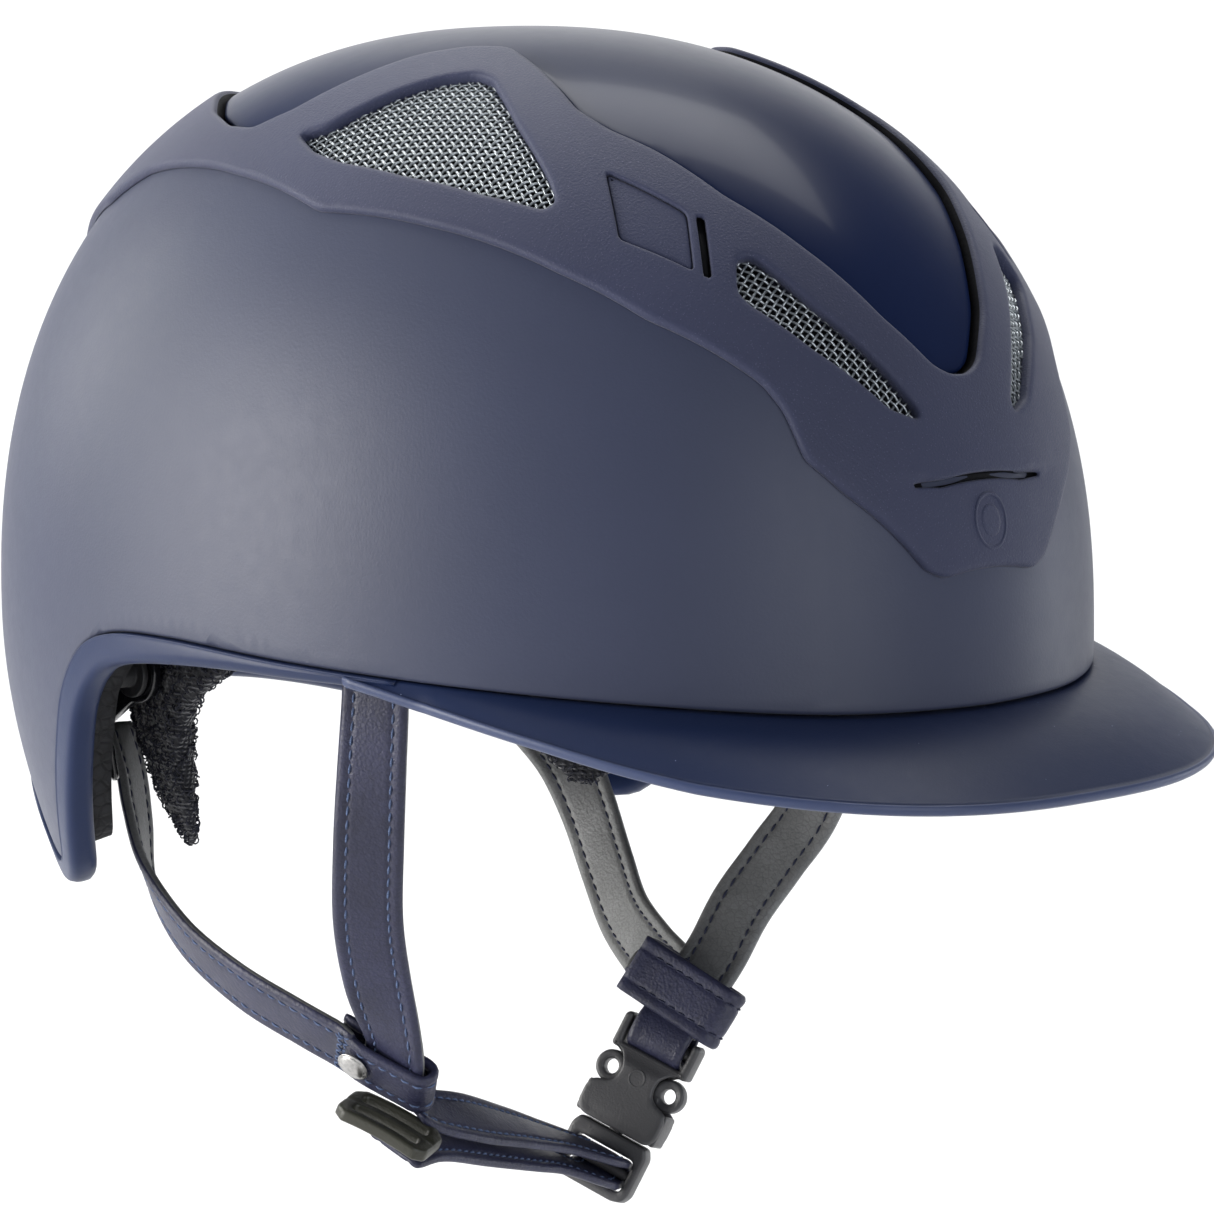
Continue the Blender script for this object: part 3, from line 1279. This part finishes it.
# The leather folded round the buckle's top bar: buckle y, z
fold = [[30.5, 1.6], [28.6, 2.6], [26.6, 3.2], [24.4, 3.35], [22.4, 3.0], [20.9, 1.7],
        [20.35, 0.0], [20.9, -1.7], [22.4, -3.0], [24.4, -3.35], [26.6, -3.2], [28.6, -2.6],
        [30.5, -1.6]]
piece = Piece()
strap(piece, smooth(path, 8), smooth(out, 8), STRAP_WIDTH, STRAP_THICKNESS, skip=(3, 6))
strap(piece, in_plane(BUCKLE, BUCKLE_Y, BUCKLE_Z, smooth(fold, 3)), BUCKLE_X, 15.2, 1.7,
      across=True, rows=(), inner=LEATHER)
place(piece.build("front_strap_left_v", STRAP_MATS), "helmet")

path = [[-61.7, 75.6, -29.8], [-61.0, 71.7, -41.4], [-62.9, 67.1, -51.6], [-66, 59.6, -65],
        [-67, 45, -78], [-66, 26, -87.5], [-62.5, 8.4, -94.5], [-59, -1.5, -99],
        JOINT - 8.5 * JOINT_X + JOINT_Z * 1.9]
out = [[-0.5, 0.86, 0], [-0.5, 0.86, -0.1], [-0.55, 0.8, -0.2], [-0.75, 0.55, -0.3],
       [-0.85, 0.1, -0.5]] + [IN_JOINT] * 4
piece = Piece()
strap(piece, smooth(path, 8), smooth(out, 8), STRAP_WIDTH, STRAP_THICKNESS, skip=(3, 4))
strap(piece, in_plane(JOINT, JOINT_X, JOINT_Z, loop_path(-13.5, 7.6)), JOINT_Y, 13.6, 2.0,
      across=True, rows=(3.9,), inner=LEATHER, threads=(THREAD, THREAD), pitch=3.0, skip=(7, 4))
bartack(piece, JOINT - JOINT_X * 12.2 + JOINT_Z * 2.2, JOINT_Y, JOINT_X, JOINT_Z, 13.5, THREAD)
place(piece.build("rear_strap_right_v", STRAP_MATS), "helmet",
      blend=("nape_support", (-66.5, 60, -65), (-63.5, 76, -34)))

path = [[63.5, 75.1, -28.8], [66.4, 67.1, -38.8], [70.3, 57.4, -50.5], [71, 50, -62.5],
        [67.5, 39, -77.4], [62, 27.4, -87.8], [55, 12, -94], [50, 0, -97.5],
        LEFT - 10.5 * LEFT_X - BUCKLE_Z * 1.2]
out = [[0.5, 0.86, 0], [0.6, 0.78, -0.1], [0.75, 0.6, -0.2], [0.9, 0.3, -0.25],
       [0.9, 0.1, -0.35], [0.9, 0.1, -0.3], [0.88, 0.3, -0.3], IN_LEFT, IN_LEFT]
piece = Piece()
strap(piece, smooth(path, 8), smooth(out, 8), STRAP_WIDTH, STRAP_THICKNESS, skip=(3, 5))
strap(piece, in_plane(LEFT, LEFT_X, BUCKLE_Z, loop_path(-15.2, 9.5, 0.4)[::-1] * [1, -1]),
      LEFT_Y, 15.2, 2.0, across=True, rows=(4.2,), inner=LEATHER,
      threads=(DARK_THREAD, DARK_THREAD), pitch=3.0, skip=(6, 6))
bartack(piece, LEFT - LEFT_X * 12.4 + BUCKLE_Z * 2.75, LEFT_Y, LEFT_X, BUCKLE_Z, 14.6,
        DARK_THREAD)
place(piece.build("rear_strap_left_v", STRAP_MATS), "helmet",
      blend=("nape_support", (70.5, 57.5, -50.5), (65, 75, -31)))

# ------------------------------------------------------------------ press stud
SNAP_TOP = 1.30
# Turned profile outward from the top centre: radius, height
SNAP = [(1.2, 1.26), (2.2, 1.10), (3.0, 0.80), (3.35, 0.55), (3.42, 0.38), (3.6, 0.36),
        (3.9, 0.42), (4.0, 0.25), (3.9, 0.05), (3.4, 0.0)]
SNAP_SIDES = 40
origin = JOINT - 8 * JOINT_X + JOINT_Z * 4.2
verts = [origin + JOINT_Z * SNAP_TOP]
for radius, height in SNAP:
    verts += [origin + JOINT_Z * height + (JOINT_X * x + JOINT_Y * y) * radius
              for x, y in circle(1, SNAP_SIDES)]
faces = [[0, 1 + j, 1 + (j + 1) % SNAP_SIDES] for j in range(SNAP_SIDES)]
for i in range(len(SNAP) - 1):
    low, high = 1 + i * SNAP_SIDES, 1 + (i + 1) * SNAP_SIDES
    faces += [[low + j, high + j, high + (j + 1) % SNAP_SIDES, low + (j + 1) % SNAP_SIDES]
              for j in range(SNAP_SIDES)]
faces.append([1 + (len(SNAP) - 1) * SNAP_SIDES + j for j in range(SNAP_SIDES)][::-1])
place(make("loop_snap_v", ["snap"], verts, faces), "helmet")

# ------------------------------------------------------------------ chin strap
# It runs to the buckle, round its lower bar and back underneath. Turn: buckle y, z
turn_points = [[-6.2, 7], [-6.2, 1], [-7.2, -2.4], [-9.1, -3.5], [-11, -2.4], [-12, 1], [-12, 7]]
path = [[-48.5, -13.6, -113], [-42, -14.2, -115.6], [-29, -13, -119.4], [-9, -8.6, -125.9],
        [6, -6, -131.3], *in_plane(BUCKLE, BUCKLE_Y, BUCKLE_Z, np.array(turn_points)),
        [4, -4.5, -136], [-9, -7, -131.5], [-29, -11.5, -125], [-44, -14, -122],
        [-56, -16.5, -122]]
wide = [[0.1, -0.9, -0.4], [-0.3, -0.82, -0.47], [-0.435, -0.762, -0.48],
        [-0.1, -0.88, -0.47], [0.2, -0.88, -0.42], *[BUCKLE_X] * len(turn_points),
        [0.2, -0.88, -0.42], [-0.1, -0.88, -0.47], [-0.435, -0.762, -0.48],
        [-0.2, -0.85, -0.46], [0.3, -0.85, -0.43]]
piece = Piece()
strap(piece, smooth(path, 8), smooth(wide, 8), 15.3, 1.8, across=True, rows=(4.6,),
      inner=LEATHER, threads=(THREAD, THREAD), pitch=2.6, skip=(2, 4))
place(piece.build("chin_strap_v", STRAP_MATS), "helmet",
      blend=("buckle_plug", (-36, -13, -120), (14, -5.5, -134)))

# ------------------------------------------------------------------ strap adjuster
adjuster_flat = affine(np.array([-57, -15.5, -117.0]), *axes(JOINT_X, [0.09, -0.43, 0.90]))


def adjuster_surface(uv, height=0.0):
    """Flat surface bent down toward the ends"""
    return adjuster_flat(uv, height - 0.9 * (uv[:, 0] / 12) ** 2)


piece = Piece()
piece.add(*plate(
    adjuster_surface,
    [[-12, -4.6], [-9.6, -7], [9.6, -7], [12, -4.6], [12, 4.6], [9.6, 7], [-9.6, 7], [-12, 4.6]],
    [rounded_rect(-8.6, 8.6, -4.6, -1.2, 0.7), rounded_rect(-8.6, 8.6, 1.2, 4.6, 0.7)],
    0, 3.2, 0.8, rounding=0.35, step=0.7, points=grid_points(-12, 12, -7, 7, 0.9),
    shape_top=lambda uv, height: height - 0.35 * groove(uv[:, 1], 0.6) * (height > 1.6)))
place(piece.build("strap_adjuster_v", ["olive"]), "adjuster")

# ------------------------------------------------------------------ buckle
# Outlines in the buckle's x, y
SOCKET_HALF = [[0, 0], [8.6, 0], [10.4, 0.7], [11.2, 2.4], [11.25, 6.6], [10.6, 8.6],
               [9.0, 9.4], [7.0, 9.9], [5.4, 11.2], [4.9, 13.4], [5.2, 15.6], [6.6, 17.4],
               [8.8, 18.4]]
SOCKET = np.vstack([SOCKET_HALF, [[10.2, 19.0], [10.2, 19.4], [-10.2, 19.4], [-10.2, 19.0]],
                    mirrored(SOCKET_HALF[1:])])
TOP_FORK = [[-10.75, 18.6], [-10.2, 18.2], [10.2, 18.2], [10.75, 18.6], [10.75, 26.6],
            [9.9, 27.5], [9.2, 27.5], [8.5, 26.9], [8.4, 19.9], [-8.4, 19.9], [-8.5, 26.9],
            [-9.2, 27.5], [-9.9, 27.5], [-10.75, 26.6]]
PLUG = [[-10.75, -13.2], [-9.6, -15.3], [-7.2, -16], [7.2, -16], [9.6, -15.3],
        [10.75, -13.2], [10.75, -3.0], [9.4, -0.6], [-9.4, -0.6], [-10.75, -3.0]]
PRONG = [[4.7, 0], [6.5, 0], [6.5, 8.6], [7.2, 9.6], [6.4, 12.0], [4.9, 12.0], [4.7, 9]]
PRONG_EYE = [8.3, 13.2]
FACE_RING = [0, 13.6]
buckle_flat = affine(BUCKLE, BUCKLE_X, BUCKLE_Y, BUCKLE_Z)


def turned_buckle(sign):
    """The buckle's plane, turned half round its y axis for a sign of -1"""
    return affine(BUCKLE, BUCKLE_X * sign, BUCKLE_Y, BUCKLE_Z * sign)


def socket_face(uv, height):
    x, y = uv[:, 0], uv[:, 1]
    slope = np.clip((y - 15.2) / 3.6, 0, 1)
    drop = 1.3 * slope ** 2 * (3 - 2 * slope)
    lobe = 0.25 * groove(y - 4.5, 5)
    rib = 0.3 * groove(y - 1.9, 0.4) * (np.abs(x) < 8)
    return height - drop * (height > 3.0) + lobe * (height > 3.6) - rib * (height > 4.0)


def bar(piece, half_length, y, y_radius, z_radius, sides):
    """Round bar across the buckle"""
    x = np.linspace(-half_length, half_length, 12)[:, None]
    piece.rod(BUCKLE + BUCKLE_X * x + BUCKLE_Y * y, 1, y_radius * BUCKLE_Y,
              z_radius * BUCKLE_Z, sides, flip=True)


piece = Piece()
socket_points = grid_points(-11, 11, 0, 28, 0.9)
for sign in (1, -1):
    piece.add(*plate(turned_buckle(sign), SOCKET, [], 2.45, 4.35, 0.75, rounding=0.5,
                     step=0.6, points=socket_points, shape_top=socket_face))
    # side wall of the socket
    piece.add(*plate(affine(BUCKLE, BUCKLE_X * sign, BUCKLE_Y, BUCKLE_Z),
                     rounded_rect(9.45, 11.3, 0.4, 8.6, 0.7), [], -3.6, 3.6, 0.5,
                     rounding=0.1, step=0.6))
piece.add(*plate(buckle_flat, TOP_FORK, [], -3.0, 3.0, 0.9, rounding=0.35, step=0.6,
                 points=socket_points))
# the bar that the folded strap hangs on
bar(piece, half_length=9, y=24.2, y_radius=1.6, z_radius=1.6, sides=20)
piece.add(*plate(buckle_flat, circle(2.3, 48) + FACE_RING, [circle(1.8, 48) + FACE_RING],
                 4.0, 4.5, 0.12, rounding=0.02, step=0.3))
place(piece.build("buckle_female_v", ["buckle"]), "helmet")

piece = Piece()
piece.add(*plate(buckle_flat, PLUG, [rounded_rect(-8.3, 8.3, -13.4, -4.8, 1.0)], -2.7, 2.7,
                 0.95, rounding=0.5, step=0.7, points=grid_points(-11, 11, -16, 0, 0.9)))
bar(piece, half_length=8.8, y=-9.1, y_radius=1.25, z_radius=1.2, sides=14)
# guide tongue
piece.add(*plate(buckle_flat, rounded_rect(-1.6, 1.6, -1.2, 15, 1.2), [], -1.6, 1.6, 0.4,
                 rounding=0.1, step=0.6))
place(piece.build("buckle_male_v", ["buckle"]), "buckle_plug")


def eye_face(uv, height):
    """Groove round the prong's eye"""
    distance = np.hypot(uv[:, 0] - PRONG_EYE[0], uv[:, 1] - PRONG_EYE[1])
    return height - 0.35 * groove(distance - 2.4, 0.5) * (height > 1.2)


for sign, side in ((1, "front"), (-1, "rear")):
    piece = Piece()
    piece.add(*plate(turned_buckle(sign), PRONG, [], -1.85, 1.85, 0.4, step=0.6))
    piece.add(*plate(turned_buckle(sign), circle(4.1, 48) + PRONG_EYE,
                     [circle(1.9, 30) + PRONG_EYE], -1.9, 1.9, 0.7, rounding=0.05, step=0.6,
                     points=grid_points(4, 13, 9, 18, 0.7), shape_top=eye_face))
    place(piece.build(f"buckle_arm_{side}_v", ["buckle"]), f"prong_{side}")


# ------------------------------------------------------------------ small hard parts
def softened(node, mat):
    """Copy of a node with bevelled edges"""
    ob = copy_node(node)
    edit = bmesh.new()
    edit.from_mesh(ob.data)
    bmesh.ops.dissolve_limit(edit, angle_limit=0.02, verts=edit.verts, edges=edit.edges)
    edit.to_mesh(ob.data)
    edit.free()
    bevel = ob.modifiers.new("b", "BEVEL")
    bevel.width = 0.0004
    bevel.segments = 3
    bevel.limit_method = "ANGLE"
    bevel.angle_limit = 0.6
    bevel.harden_normals = True
    ob.data.materials.append(MATS[mat])
    ob.data.shade_smooth()
    apply_modifiers(ob)
    ob.modifiers.new("wn", "WEIGHTED_NORMAL")
    return ob


for node in ("cradle_studs", "strap_anchors"):
    place(softened(node, "stud"), "helmet")


# ------------------------------------------------------------------ floor, in metres
def floor():
    """Floor that curves up into a backdrop behind the helmet"""
    away = Vector((0.68, 0.73, 0)).normalized()
    side = Vector((away.y, -away.x, 0))
    start, radius = 2.2, 1.6
    profile = [(-6, 0), (start, 0)]
    profile += [(start + radius * math.sin(turn), radius * (1 - math.cos(turn)))
                for turn in np.linspace(0.08, math.pi / 2, 18)]
    profile.append((start + radius, 6))
    verts = [tuple(away * distance + side * width + Vector((0, 0, z - 0.36)))
             for distance, z in profile for width in (-6, 6)]
    faces = [[2 * i, 2 * i + 1, 2 * i + 3, 2 * i + 2] for i in range(len(profile) - 1)]
    mesh = bpy.data.meshes.new("floor")
    mesh.from_pydata(verts, [], faces)
    mesh.shade_smooth()
    ob = new_object("floor", mesh)
    shader = Shader("floor_pale")
    shader.set(Base_Color=shader.tint(shader.noise(6, 3), (1, 1, 1), (0.3, 0.84), (0.7, 0.87)),
               Roughness=0.95, Specular_IOR_Level=0.1)
    mesh.materials.append(shader.mat)


floor()

# ------------------------------------------------------------------ camera, in metres
CAM_RIGHT = np.array([0.7311, -0.6821, -0.0177])
CAM_UP = np.array([0.0834, 0.0636, 0.9945])
CAM_BACK = np.array([-0.6772, -0.7285, 0.1033])
CAM_DISTANCE = 1.04706

camera = bpy.data.cameras.new("camera")
camera_ob = new_object("camera", camera)
pose = np.column_stack([CAM_RIGHT, CAM_UP, CAM_BACK, CAM_BACK * CAM_DISTANCE])
camera_ob.matrix_world = Matrix((*pose.tolist(), (0, 0, 0, 1)))
camera.lens = 129.94
camera.sensor_width = 36
camera.shift_x = 0.0769
camera.shift_y = -0.0066
camera.clip_start, camera.clip_end = 0.01, 50
bpy.context.scene.camera = camera_ob


# ------------------------------------------------------------------ lights, in metres
def from_cam(right, above, back):
    """Point placed by the camera's directions, from the origin"""
    return Vector((CAM_RIGHT * right + CAM_UP * above + CAM_BACK * back).tolist())


def area(name, at, target, size, power, color=(1, 1, 1), size_y=None):
    light = bpy.data.lights.new(name, "AREA")
    light.shape = "RECTANGLE"
    light.size = size
    light.size_y = size_y or size
    light.energy = power
    light.color = color
    ob = new_object(name, light)
    ob.location = at
    ob.rotation_euler = (Vector(target) - at).to_track_quat("-Z", "Y").to_euler()


area("key", from_cam(-2.15, 0.3, 0.5), target=(0, 0, 0.02), size=1.2, power=58,
     color=(1, 0.98, 0.95), size_y=1.4)
area("fill", from_cam(1.2, 0.1, 1.7), target=(0, 0, 0), size=1.2, power=15,
     color=(0.92, 0.95, 1), size_y=1.5)
area("top", from_cam(-0.2, 2.1, -0.9), target=(0, 0, 0.05), size=1.6, power=3)
area("rim_right", from_cam(1.9, -0.2, -0.9), target=(0, 0, 0), size=0.5, power=9,
     color=(0.95, 0.97, 1), size_y=1.2)
area("rim_left", from_cam(-2.1, 0.9, -1.1), target=(0, 0, 0.05), size=0.6, power=16,
     color=(1, 1, 0.95), size_y=1.2)
area("backdrop", from_cam(0, 2.6, -1.0), target=from_cam(0, -0.2, -3.5), size=2.5, power=90)

world = bpy.data.worlds.new("w")
bpy.context.scene.world = world
world.use_nodes = True
background = world.node_tree.nodes["Background"]
background.inputs["Color"].default_value = (0.80, 0.84, 0.92, 1)
background.inputs["Strength"].default_value = 0.22
bpy.context.scene.view_settings.view_transform = "Standard"
